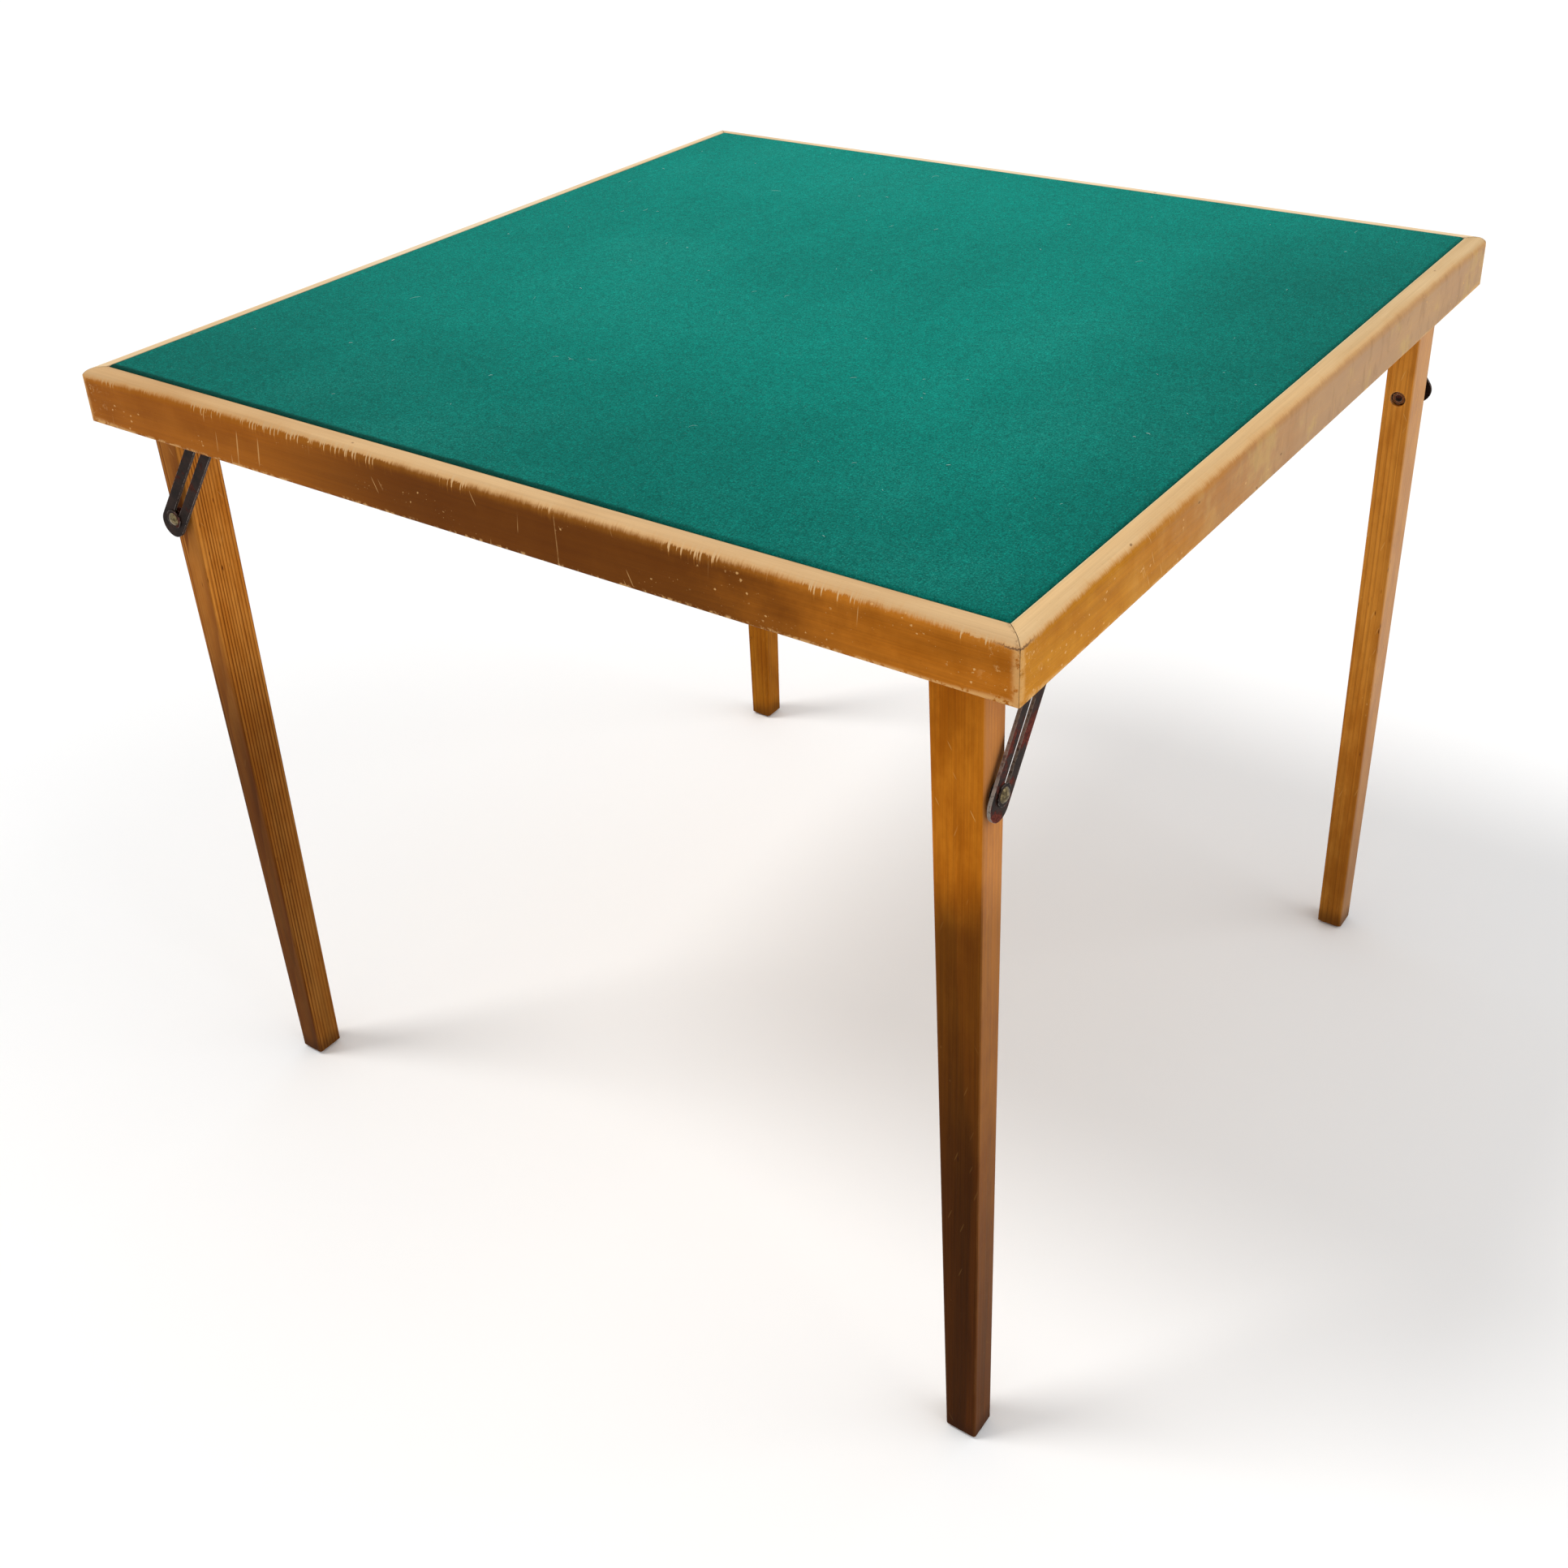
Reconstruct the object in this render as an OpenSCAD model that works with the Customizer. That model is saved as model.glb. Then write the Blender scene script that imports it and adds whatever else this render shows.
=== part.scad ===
// Folding card table: a square baize-covered top in a mitred rail frame, on four tapered legs
// that fold up under it one after the other, each held open by a slotted steel stay.
// Millimetres. +Z is up, the floor is z = 0 and the table stands centred on the origin.
// Everything at one corner is drawn once, at the front right corner, and turned by 90 degrees
// for each of the others.

/* [Table] */
// Length of each side of the square top
side = 800; // [800:5:900]
// Height of the rails' top above the floor, so low that a folded leg fits beside its rail
height = 690; // [600:5:690]

/* [Rails] */
// Thickness of a rail
rail_t = 22; // [20:0.5:24]
// Height of a rail
rail_h = 42; // [40:0.5:60]
// Radius along the rails' top outer edge
rail_round = 9; // [4:0.5:12]
// Radius of the frame's upright corners
corner_round = 4; // [1:0.5:8]
// Width of wood seen between the baize and the table's edge
rim_w = 15; // [12:0.5:17]

/* [Top panel] */
// Thickness of the plywood panel
panel_t = 5; // [4:0.5:6]
// Thickness of the baize
baize_t = 1; // [0.8:0.1:2]

/* [Legs] */
// Width of a leg under the rail, across the way it folds
leg_wide = 38.5; // [34:0.5:42]
// Width of a leg under the rail, along the way it folds
leg_narrow = 24.5; // [22:0.5:26]
// Width of a foot, across the way the leg folds
foot_wide = 24.5; // [18:0.5:30]
// Width of a foot, along the way the leg folds
foot_narrow = 23.5; // [18:0.5:24]
// Radius of a leg's worn edges
leg_round = 2; // [0.5:0.25:4]

/* [Stays] */
// Gap between a leg and the rail beside it, where the stay swings
stay_gap = 12; // [12:0.5:16]
// Width of the stay's flat bar
stay_w = 23.5; // [20:0.5:26]
// Thickness of the stay's flat bar
stay_t = 2.25; // [2:0.25:3]
// Width of the slot in the stay
slot_w = 6; // [5.8:0.1:8]
// How far the rivet sits below the leg's pivot
rivet_drop = 107.5; // [105:0.5:130]
// How far the stay's own pivot sits along the rail from the leg's pivot
stay_run = 76.5; // [60:0.5:85]
// How far the bar runs on past the rivet
stay_tail = 17.5; // [14:0.5:24]

/* [Fasteners] */
// Diameter of the bolts the legs turn on
pivot_d = 8; // [6:0.5:8]
// Diameter of the stays' pivot screws
stay_screw_d = 6; // [5:0.5:6]
// Diameter of the rivet's neck in the slot
rivet_d = 5.2; // [4:0.1:5.4]
// Diameter of the rivet's head
rivet_head_d = 10.5; // [10:0.5:13]
// Diameter of the bolt that carries the rivet through the leg
leg_bolt_d = 6; // [5:0.5:6]

/* [Hidden] */
$fn = 64;
running_fit = 0.05; // radial gap of a pin in its bore
gap = 0.3; // gap between faces that pass each other
mitre_gap = 0.3; // open line along each mitre
edge_r = 1.5; // radius of the rails' lower edges
rim_r = 0.8; // radius along the rim's inner edge, beside the baize
leg_ease = 1.3; // gap between an open leg and the rail it stops against

// Heights
rail_z = height - rail_h;
panel_z = height - panel_t;
pivot_z = panel_z - 2.75 - leg_narrow / 2;
rivet_z = pivot_z - rivet_drop;

// Places along the right-hand rail, at the front right corner
rail_in = side / 2 - rail_t;
leg_out = rail_in - stay_gap;
leg_in = leg_out - leg_wide;
leg_y = -(rail_in - leg_ease - leg_narrow / 2);
stay_y = leg_y + stay_run;

// Stay: its reach from pivot to rivet, open and folded, and its slope with the leg open
reach_open = norm([stay_run, rivet_drop]);
reach_folded = rivet_drop - stay_run;
stay_angle = atan2(-rivet_drop, -stay_run);

// Layers in the stay's gap, counted outwards from the leg
stay_x = leg_out + 3.5;
stay_back = stay_x + stay_t;
screw_head_t = stay_x - gap - (leg_out + 0.9);
rivet_washer_t = 0.8;
rivet_head_t = 2.4;

// Hinge block beside the leg's top
block_t = 16;
block_l = 40;
block_h = 32;
block_out = leg_in - 1.5;
block_in = block_out - block_t;
block_screw_d = 4.4;
head_sink = 5;
bolt_in_rail = 13;

// Nut sunk in the leg's inner face
nut_t = 5;
nut_recess_d = 13;
collar_d = 14;

// Splines across the mitres
spline_w = 12;
spline_l = 14;
spline_t = 4;

// Panel, its cloth and the battens below it
panel_w = side - 2 * rim_w - 2.6;
baize_w = side - 2 * rim_w - 0.4;
batten_l = 2 * (leg_in - 8);
batten_w = 45;
batten_t = 14;
batten_y = 170;
batten_screw_d = 3;

wood = [0.72, 0.45, 0.20];
pale_wood = [0.82, 0.66, 0.46];
dark_steel = [0.20, 0.15, 0.13];
bright_steel = [0.55, 0.55, 0.56];
brass = [0.62, 0.55, 0.38];
green = [0.12, 0.48, 0.40];

// ---- Helpers -------------------------------------------------------------------------------

// Turns what is drawn at the front right corner to corner k, counted anticlockwise
module corner(k) {
    rotate([0, 0, 90 * k]) children();
}

// One copy at each corner
module each_corner() {
    for (k = [0:3]) corner(k) children();
}

// Cylinder along X from x0 to x1, at height z on the line y
module rod_x(d, x0, x1, y, z) {
    translate([x0, y, z]) rotate([0, 90, 0]) cylinder(d = d, h = x1 - x0);
}

// Cylinder along Y from y0 to y1
module rod_y(d, x, y0, y1, z) {
    translate([x, y1, z]) rotate([90, 0, 0]) cylinder(d = d, h = y1 - y0);
}

// Tube along X
module tube_x(d_out, d_in, x0, x1, y, z) {
    difference() {
        rod_x(d_out, x0, x1, y, z);
        rod_x(d_in, x0 - 1, x1 + 1, y, z);
    }
}

// Square with rounded corners, centred
module rounded_square(w, r) {
    square([w, w - 2 * r], center = true);
    square([w - 2 * r, w], center = true);
    for (x = [-1, 1], y = [-1, 1]) translate([x, y] * (w / 2 - r)) circle(r);
}

// Ring of points round a rectangle with rounded corners: [height, x centre, width x, width y, radius]
function ring(s, y, steps = 3) = [
    for (c = [0:3], i = [0:steps])
        let (a = 90 * c + 90 * i / steps,
             sx = (c == 0 || c == 3) ? 1 : -1,
             sy = c < 2 ? 1 : -1)
        [s[1] + sx * (s[2] / 2 - s[4]) + s[4] * cos(a),
         y + sy * (s[3] / 2 - s[4]) + s[4] * sin(a),
         s[0]]
];

// Solid through a stack of such rings, lowest first
module lofted(sections, y) {
    n = len(ring(sections[0], y));
    last = len(sections) - 1;
    points = [for (s = sections) each ring(s, y)];
    walls = [
        for (j = [0:last - 1], i = [0:n - 1])
            [j * n + i, (j + 1) * n + i, (j + 1) * n + (i + 1) % n, j * n + (i + 1) % n]
    ];
    polyhedron(
        points = points,
        faces = concat([[for (i = [0:n - 1]) i]], walls, [[for (i = [n - 1:-1:0]) last * n + i]]),
        convexity = 2
    );
}

// ---- Frame ---------------------------------------------------------------------------------

// Rail's cross-section: x runs inwards from the outer face, y up from the lower edge
module rail_section() {
    difference() {
        square([rail_t, rail_h]);
        edge_waste(edge_r);
        translate([rail_t, 0]) mirror([1, 0]) edge_waste(edge_r);
        translate([0, rail_h]) mirror([0, 1]) edge_waste(rail_round);
        translate([rim_w, rail_h]) rotate(180) edge_waste(rim_r);
        translate([rim_w, rail_h - panel_t]) square([rail_t, panel_t + 1]);
    }
}

// What rounding a corner to radius r takes off it: the corner at the origin, the wood up and right
module edge_waste(r) {
    difference() {
        translate([-1, -1]) square(r + 1);
        translate([r, r]) circle(r);
    }
}

// The spline's body, or its slot when grown by a clearance
module spline(grow = 0) {
    c = side / 2 - rail_t / 2 - 0.5;
    translate([c, -c, rail_z + rail_h * 0.4]) rotate([0, 0, 45])
        cube([spline_l + 2 * grow, spline_w + 2 * grow, spline_t + 2 * grow], center = true);
}

// Right-hand rail: mitred at both ends, with blind holes for the pivot bolt and the stay's screw
module rail() {
    color(wood) difference() {
        intersection() {
            translate([side / 2, side / 2, rail_z]) rotate([90, 0, 0]) mirror([1, 0, 0])
                linear_extrude(side) rail_section();
            translate([mitre_gap / 2, 0, rail_z - 1]) linear_extrude(rail_h + 2)
                polygon([[0, 0], [side, side], [side, -side]]);
            translate([0, 0, rail_z - 1]) linear_extrude(rail_h + 2)
                rounded_square(side, corner_round);
        }
        spline(0.1);
        corner(1) spline(0.1);
        rod_x(pivot_d + 2 * running_fit, rail_in - 1, rail_in + bolt_in_rail + 1, leg_y, pivot_z);
        rod_x(stay_screw_d + 2 * running_fit, rail_in - 1, rail_in + 13, stay_y, pivot_z);
        // the screw of the next corner's hinge block
        corner(1) rod_y(block_screw_d + 2 * running_fit, block_in + 8, -rail_in - 16, -rail_in + 1,
            pivot_z - 11);
    }
}

module mitre_splines() {
    color(pale_wood) each_corner() spline();
}

module top_panel() {
    color(pale_wood) difference() {
        translate([0, 0, panel_z]) linear_extrude(panel_t) rounded_square(panel_w, 2);
        batten_screw_places() cylinder(d = batten_screw_d + 2 * running_fit, h = batten_t + 3.5);
    }
}

module baize() {
    color(green) translate([0, 0, height]) linear_extrude(baize_t) rounded_square(baize_w, 2);
}

// Screws up through both battens, from their lower faces
module batten_screw_places() {
    for (x = [-0.42, 0, 0.42], y = [-1, 1])
        translate([x * batten_l, y * batten_y, panel_z - batten_t]) children();
}

// Batten across the panel: s is -1 for the front one and 1 for the back one
module batten(s) {
    color(pale_wood) difference() {
        translate([-batten_l / 2, s * batten_y - batten_w / 2, panel_z - batten_t])
            cube([batten_l, batten_w, batten_t]);
        batten_screw_places() {
            translate([0, 0, -1]) cylinder(d = batten_screw_d + 2 * running_fit, h = batten_t + 2);
            translate([0, 0, -0.01]) cylinder(d1 = 7, d2 = batten_screw_d, h = 2.2);
        }
    }
}

module batten_screws() {
    color(bright_steel) batten_screw_places() {
        translate([0, 0, 0.2]) cylinder(d1 = 6.4, d2 = batten_screw_d - 0.1, h = 1.9);
        translate([0, 0, 1]) cylinder(d = batten_screw_d, h = batten_t + 2);
    }
}

// ---- Leg hinges ----------------------------------------------------------------------------

// Block glued and screwed in the corner, with the pivot bolt's head sunk into its inner face
module hinge_block() {
    color(pale_wood) difference() {
        translate([block_in, -rail_in, panel_z - block_h]) cube([block_t, block_l, block_h]);
        rod_x(pivot_d + 2 * running_fit, block_in - 1, block_out + 1, leg_y, pivot_z);
        rod_x(pivot_d + 6, block_in - 1, block_in + head_sink, leg_y, pivot_z);
        rod_y(block_screw_d + 2 * running_fit, block_in + 8, -rail_in - 1, -rail_in + block_l + 1,
            pivot_z - 11);
        translate([block_in + 8, -rail_in + block_l + 0.01, pivot_z - 11]) rotate([90, 0, 0])
            cylinder(d1 = 9.4, d2 = 4, h = 3.2);
    }
}

module block_screws() {
    color(bright_steel) each_corner() {
        rod_y(block_screw_d, block_in + 8, -rail_in - 14, -rail_in + block_l - 1, pivot_z - 11);
        translate([block_in + 8, -rail_in + block_l - 0.3, pivot_z - 11]) rotate([90, 0, 0])
            cylinder(d1 = 8.6, d2 = block_screw_d - 0.4, h = 2.6);
    }
}

module pivot_bolts() {
    color(bright_steel) each_corner() {
        rod_x(pivot_d, block_in + 1, rail_in + bolt_in_rail, leg_y, pivot_z);
        rod_x(pivot_d + 5, block_in + 1, block_in + head_sink, leg_y, pivot_z);
    }
}

// Thin washer between the block and the leg
module pivot_washers() {
    color(bright_steel) each_corner()
        tube_x(18, pivot_d + 2 * running_fit, block_out, leg_in - gap, leg_y, pivot_z);
}

// Tube that keeps the leg off the rail
module pivot_spacers() {
    color(bright_steel) each_corner()
        tube_x(14, pivot_d + 2 * running_fit, leg_out + gap, rail_in, leg_y, pivot_z);
}

// ---- Legs ----------------------------------------------------------------------------------

// One leg. taper says which wide side slopes: 1 for the inner side, -1 for the outer side
module leg(taper) {
    mid = (leg_out + leg_in) / 2;
    foot_mid = mid + taper * (leg_wide - foot_wide) / 2;
    bevel = 3;
    stack = [
        [0, foot_mid, foot_wide - 2 * bevel, foot_narrow - 2 * bevel, leg_round / 2],
        [bevel, foot_mid, foot_wide, foot_narrow, leg_round],
        [rail_z, mid, leg_wide, leg_narrow, leg_round],
        [pivot_z + leg_narrow, mid, leg_wide, leg_narrow, leg_round]
    ];
    color(wood) difference() {
        intersection() {
            lofted(stack, leg_y);
            union() {
                rod_x(leg_narrow, leg_in - 1, leg_out + 1, leg_y, pivot_z);
                translate([leg_in - 1, leg_y - leg_narrow, -1])
                    cube([leg_wide + 2, 2 * leg_narrow, pivot_z + 1]);
            }
        }
        rod_x(pivot_d + 2 * running_fit, leg_in - 1, leg_out + 1, leg_y, pivot_z);
        rod_x(leg_bolt_d + 2 * running_fit, leg_in - 1, leg_out + 1, leg_y, rivet_z);
        rod_x(nut_recess_d, leg_in - 1, nut_x(taper) + nut_t, leg_y, rivet_z);
    }
}

// How far the leg's sloping side comes in for each millimetre down, and by the rivet's height
leg_slope = (leg_wide - foot_wide) / rail_z;
slope_in = leg_slope * (rail_z - rivet_z);

// The leg's two wide faces at the rivet's height
function face_in(taper) = taper > 0 ? leg_in + slope_in : leg_in;
function face_out(taper) = taper > 0 ? leg_out : leg_out - slope_in;
function nut_x(taper) = face_in(taper) + 2.5;

// Through-bolt that carries the rivet, with its collar just clear of the leg's outer face
module leg_bolt(taper) {
    color(dark_steel) {
        rod_x(leg_bolt_d, nut_x(taper) + 0.5, face_out(taper) + 1, leg_y, rivet_z);
        rod_x(collar_d, face_out(taper) + 0.05 + abs(leg_slope) * collar_d / 2, stay_x - 0.5,
            leg_y, rivet_z);
    }
}

// Hexagon nut sunk in the leg's inner face
module leg_nut(taper) {
    color(dark_steel) difference() {
        translate([nut_x(taper), leg_y, rivet_z]) rotate([0, 90, 0])
            cylinder(d = 11.5, h = nut_t, $fn = 6);
        rod_x(leg_bolt_d + 2 * running_fit, leg_in - 1, leg_out, leg_y, rivet_z);
    }
}

// ---- Stays ---------------------------------------------------------------------------------

// The bar's outline, from its pivot at the origin along +X, with the slot for the rivet
module stay_outline() {
    end_r = stay_w / 2;
    tail = reach_open + stay_tail - end_r;
    difference() {
        union() {
            circle(end_r);
            translate([0, -end_r]) square([tail, stay_w]);
            translate([tail, 0]) circle(end_r);
        }
        translate([reach_folded, -slot_w / 2]) square([reach_open - reach_folded, slot_w]);
        translate([reach_folded, 0]) circle(slot_w / 2);
        translate([reach_open, 0]) circle(slot_w / 2);
        // the notch the rivet drops into
        translate([reach_open - 1, -3.4]) circle(slot_w / 2);
        circle(stay_screw_d / 2 + running_fit);
    }
}

module stay() {
    color(dark_steel) translate([stay_x, stay_y, pivot_z]) rotate([90, 0, 90])
        linear_extrude(stay_t) rotate(stay_angle) stay_outline();
}

// Round-headed screw that holds the stay's top end to the rail
module stay_screws() {
    color(dark_steel) each_corner() translate([stay_x - gap, stay_y, pivot_z]) rotate([0, 90, 0]) {
        cylinder(d = stay_screw_d, h = rail_in + 12 - (stay_x - gap));
        rotate([180, 0, 0]) dome(12, screw_head_t);
    }
}

// Low domed head: d across, t high, standing on z = 0
module dome(d, t) {
    r = (d * d / 4 + t * t) / (2 * t);
    rotate_extrude() intersection() {
        translate([0, t - r]) circle(r, $fn = 128);
        square([d / 2, t]);
    }
}

module stay_spacers() {
    color(dark_steel) each_corner()
        tube_x(14, stay_screw_d + 2 * running_fit, stay_back + gap, rail_in, stay_y, pivot_z);
}

// Rivet: its neck in the slot and its head outside the bar
module rivet() {
    head_x = stay_back + 0.2 + rivet_washer_t;
    color(brass) {
        rod_x(rivet_d, stay_x - 0.2, head_x + 0.5, leg_y, rivet_z);
        translate([head_x, leg_y, rivet_z]) rotate([0, 90, 0]) dome(rivet_head_d, rivet_head_t);
    }
}

module rivet_washer() {
    color(dark_steel) tube_x(15, rivet_d + 2 * running_fit,
        stay_back + 0.2, stay_back + 0.2 + rivet_washer_t, leg_y, rivet_z);
}

// ---- The table -----------------------------------------------------------------------------

corner(0) rail();  // rail_right
corner(1) rail();  // rail_back
corner(2) rail();  // rail_left
corner(3) rail();  // rail_front
mitre_splines();
top_panel();
baize();
batten(-1);  // batten_front
batten(1);  // batten_back
batten_screws();
corner(0) hinge_block();  // hinge_block_front_right
corner(1) hinge_block();  // hinge_block_back_right
corner(2) hinge_block();  // hinge_block_back_left
corner(3) hinge_block();  // hinge_block_front_left
block_screws();
pivot_bolts();
pivot_washers();
pivot_spacers();
corner(0) leg(1);  // leg_front_right
corner(1) leg(-1);  // leg_back_right
corner(2) leg(1);  // leg_back_left
corner(3) leg(-1);  // leg_front_left
corner(0) leg_bolt(1);  // leg_bolt_front_right
corner(1) leg_bolt(-1);  // leg_bolt_back_right
corner(2) leg_bolt(1);  // leg_bolt_back_left
corner(3) leg_bolt(-1);  // leg_bolt_front_left
corner(0) leg_nut(1);  // leg_nut_front_right
corner(1) leg_nut(-1);  // leg_nut_back_right
corner(2) leg_nut(1);  // leg_nut_back_left
corner(3) leg_nut(-1);  // leg_nut_front_left
corner(0) stay();  // stay_front_right
corner(1) stay();  // stay_back_right
corner(2) stay();  // stay_back_left
corner(3) stay();  // stay_front_left
stay_screws();
stay_spacers();
corner(0) rivet();  // rivet_front_right
corner(1) rivet();  // rivet_back_right
corner(2) rivet();  // rivet_back_left
corner(3) rivet();  // rivet_front_left
corner(0) rivet_washer();  // rivet_washer_front_right
corner(1) rivet_washer();  // rivet_washer_back_right
corner(2) rivet_washer();  // rivet_washer_back_left
corner(3) rivet_washer();  // rivet_washer_front_left
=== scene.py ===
"""Folding card table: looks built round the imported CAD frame. Blender 4.5, metres, +Z up.

The CAD nodes keep their shapes and get procedural materials. The baize solid is replaced by a
stretched cloth with a rolled edge, and loose lint lies on it."""
import math
import random

import bmesh
import bpy
from mathutils import Matrix, Vector
from mathutils import noise as noise3


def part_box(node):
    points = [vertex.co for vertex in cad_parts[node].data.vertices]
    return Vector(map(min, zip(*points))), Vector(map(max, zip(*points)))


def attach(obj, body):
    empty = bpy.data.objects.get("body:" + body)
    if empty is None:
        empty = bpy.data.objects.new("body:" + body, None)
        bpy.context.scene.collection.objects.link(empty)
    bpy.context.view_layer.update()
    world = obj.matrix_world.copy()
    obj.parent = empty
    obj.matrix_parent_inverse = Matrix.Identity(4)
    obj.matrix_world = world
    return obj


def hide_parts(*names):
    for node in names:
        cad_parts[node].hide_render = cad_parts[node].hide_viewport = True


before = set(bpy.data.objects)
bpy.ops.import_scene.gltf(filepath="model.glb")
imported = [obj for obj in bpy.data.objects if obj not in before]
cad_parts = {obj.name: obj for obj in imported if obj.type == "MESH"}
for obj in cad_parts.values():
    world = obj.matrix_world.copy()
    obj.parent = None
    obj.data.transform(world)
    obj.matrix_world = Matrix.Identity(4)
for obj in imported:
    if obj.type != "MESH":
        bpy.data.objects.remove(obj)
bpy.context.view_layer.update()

MM = 0.001
CORNERS = ("front_right", "back_right", "back_left", "front_left")
SIDES = ("right", "back", "left", "front")
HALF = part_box("rail_right")[1].x          # centre to the outer face of a rail
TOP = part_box("rail_right")[1].z           # top of the rails
RAIL_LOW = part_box("rail_right")[0].z
PANEL_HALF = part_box("top_panel")[1].x
BAIZE_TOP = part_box("baize")[1].z
BAIZE_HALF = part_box("baize")[1].x


# ---- Materials: a small layer over the node tree ---------------------------------------------

def rgb(r, g, b):
    """Linear colour from display values of 0 to 255."""
    def line(v):
        v /= 255
        return v / 12.92 if v <= 0.04045 else ((v + 0.055) / 1.055) ** 2.4
    return (line(r), line(g), line(b), 1.0)


class Paint:
    """One procedural material. Patterns are laid in the object's own coordinates, in metres, so
    the scale of a pattern is the number of its lumps to the metre."""

    def __init__(self, name):
        self.mat = bpy.data.materials.new(name)
        self.mat.use_nodes = True
        self.tree = self.mat.node_tree
        self.shader = self.tree.nodes["Principled BSDF"]
        coords = self.tree.nodes.new("ShaderNodeTexCoord").outputs
        self.place, self.facing = coords["Object"], coords["Normal"]

    def put(self, socket, value):
        """Link a node's output to the socket, or set the socket to a plain value."""
        if isinstance(value, bpy.types.NodeSocket):
            self.tree.links.new(value, socket)
        else:
            socket.default_value = value[:3] if socket.type == "VECTOR" else value

    def node(self, kind, inputs, out=0, **settings):
        """Output of a new node with these inputs and settings."""
        n = self.tree.nodes.new(kind)
        for key, value in settings.items():
            setattr(n, key, value)
        for key, value in inputs.items():
            self.put(n.inputs[key], value)
        return n.outputs[out]

    def math(self, operation, a, b=0.0):
        return self.node("ShaderNodeMath", {0: a, 1: b}, operation=operation)

    def add(self, a, b):
        return self.math("ADD", a, b)

    def sub(self, a, b):
        return self.math("SUBTRACT", a, b)

    def mul(self, a, b):
        return self.math("MULTIPLY", a, b)

    def most(self, a, b):
        return self.math("MAXIMUM", a, b)

    def least(self, a, b):
        return self.math("MINIMUM", a, b)

    def size(self, a):
        return self.math("ABSOLUTE", a)

    def step(self, value, low, high, to_low=0.0, to_high=1.0):
        """Smooth step of value from low to high."""
        return self.node("ShaderNodeMapRange", {
            "Value": value, "From Min": low, "From Max": high, "To Min": to_low, "To Max": to_high,
        }, interpolation_type="SMOOTHSTEP")

    def between(self, value, rise, fall):
        """1 between two smooth steps, each given as where it starts and ends, and 0 outside."""
        return self.mul(self.step(value, *rise), self.step(value, *fall))

    def noise(self, at, scale=1.0, detail=2.0, rough=0.5, distort=0.0):
        return self.node("ShaderNodeTexNoise", {
            "Vector": at, "Scale": scale, "Detail": detail, "Roughness": rough,
            "Distortion": distort,
        })

    def cells(self, at):
        """Distance to the nearest of the scattered points, about one to each unit cube."""
        return self.node("ShaderNodeTexVoronoi", {"Vector": at, "Scale": 1.0})

    def scaled(self, at, by, shift=(0.0, 0.0, 0.0)):
        return self.node("ShaderNodeVectorMath", {0: at, 1: by, 2: shift},
                         operation="MULTIPLY_ADD")

    def split(self, at):
        n = self.tree.nodes.new("ShaderNodeSeparateXYZ")
        self.put(n.inputs[0], at)
        return n.outputs[0], n.outputs[1], n.outputs[2]

    def join(self, x, y, z):
        return self.node("ShaderNodeCombineXYZ", {0: x, 1: y, 2: z})

    def blend(self, share, a, b):
        """Colour b over colour a."""
        return self.node("ShaderNodeMix", {0: share, 6: a, 7: b}, 2, data_type="RGBA")

    def shade(self, colour, factor):
        """Colour times a grey factor."""
        return self.node("ShaderNodeVectorMath", {0: colour, "Scale": factor},
                         operation="SCALE")

    def edge(self, radius):
        """About 0 on flat faces and 1 on sharp edges."""
        soft = self.node("ShaderNodeBevel", {"Radius": radius}, samples=4)
        true = self.tree.nodes.new("ShaderNodeNewGeometry").outputs["Normal"]
        match = self.node("ShaderNodeVectorMath", {0: soft, 1: true}, 1,
                          operation="DOT_PRODUCT")
        return self.step(match, 0.995, 0.80)

    def bump(self, height, depth, strength, under=None):
        inputs = {"Height": height, "Distance": depth, "Strength": strength}
        if under is not None:
            inputs["Normal"] = under
        return self.node("ShaderNodeBump", inputs)

    def finish(self, colour, rough, normal=None, **sockets):
        """Wire up the shader, set its other sockets to plain values, and give the material."""
        self.put(self.shader.inputs["Base Color"], colour)
        self.put(self.shader.inputs["Roughness"], rough)
        if normal is not None:
            self.put(self.shader.inputs["Normal"], normal)
        for key, value in sockets.items():
            self.shader.inputs[key.replace("_", " ")].default_value = value
        return self.mat


# ---- Wood: patterns that the woods share -----------------------------------------------------

PITH = (0.09, 0.14)     # how far from the tree's middle the boards were cut, across the grain


def grained(p, axis, seed):
    """Object coordinates turned so that the grain runs along z, moved by the seed."""
    x, y, z = p.split(p.place)
    turned = {"X": (y, z, x), "Y": (z, x, y), "Z": (x, y, z)}[axis]
    return p.scaled(p.join(*turned), (1, 1, 1), (0.37 * seed, 0.23 * seed, 0.71 * seed))


def figure(p, at, ring, wave=0.0128):
    """Late wood of the yearly rings, 0 to 1. ring is their spacing, and they wander sideways by
    up to half of wave."""
    bend = p.noise(p.scaled(at, (9, 9, 1.6)), 1, 2, 0.5)
    u, v, _ = p.split(at)
    du = p.add(p.math("FRACT", p.mul(u, 0.9)), PITH[0])
    du = p.add(du, p.mul(p.sub(bend, 0.5), wave))
    dv = p.add(p.math("FRACT", p.mul(v, 0.9)), PITH[1])
    reach = p.math("SQRT", p.add(p.mul(du, du), p.mul(dv, dv)))
    uneven = p.noise(p.scaled(at, (60, 60, 2.5)), 1, 2, 0.5)
    turn = p.math("FRACT", p.add(p.math("DIVIDE", reach, ring), p.mul(uneven, 1.3)))
    return p.mul(p.step(turn, 0.35, 0.86), p.step(turn, 1.0, 0.92))


def streaks(p, at, across, along, detail=3.0):
    """Fine fibres along the grain, about 0.5 on average."""
    return p.noise(p.scaled(at, (across, across, along)), 1, detail, 0.6)


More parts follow.
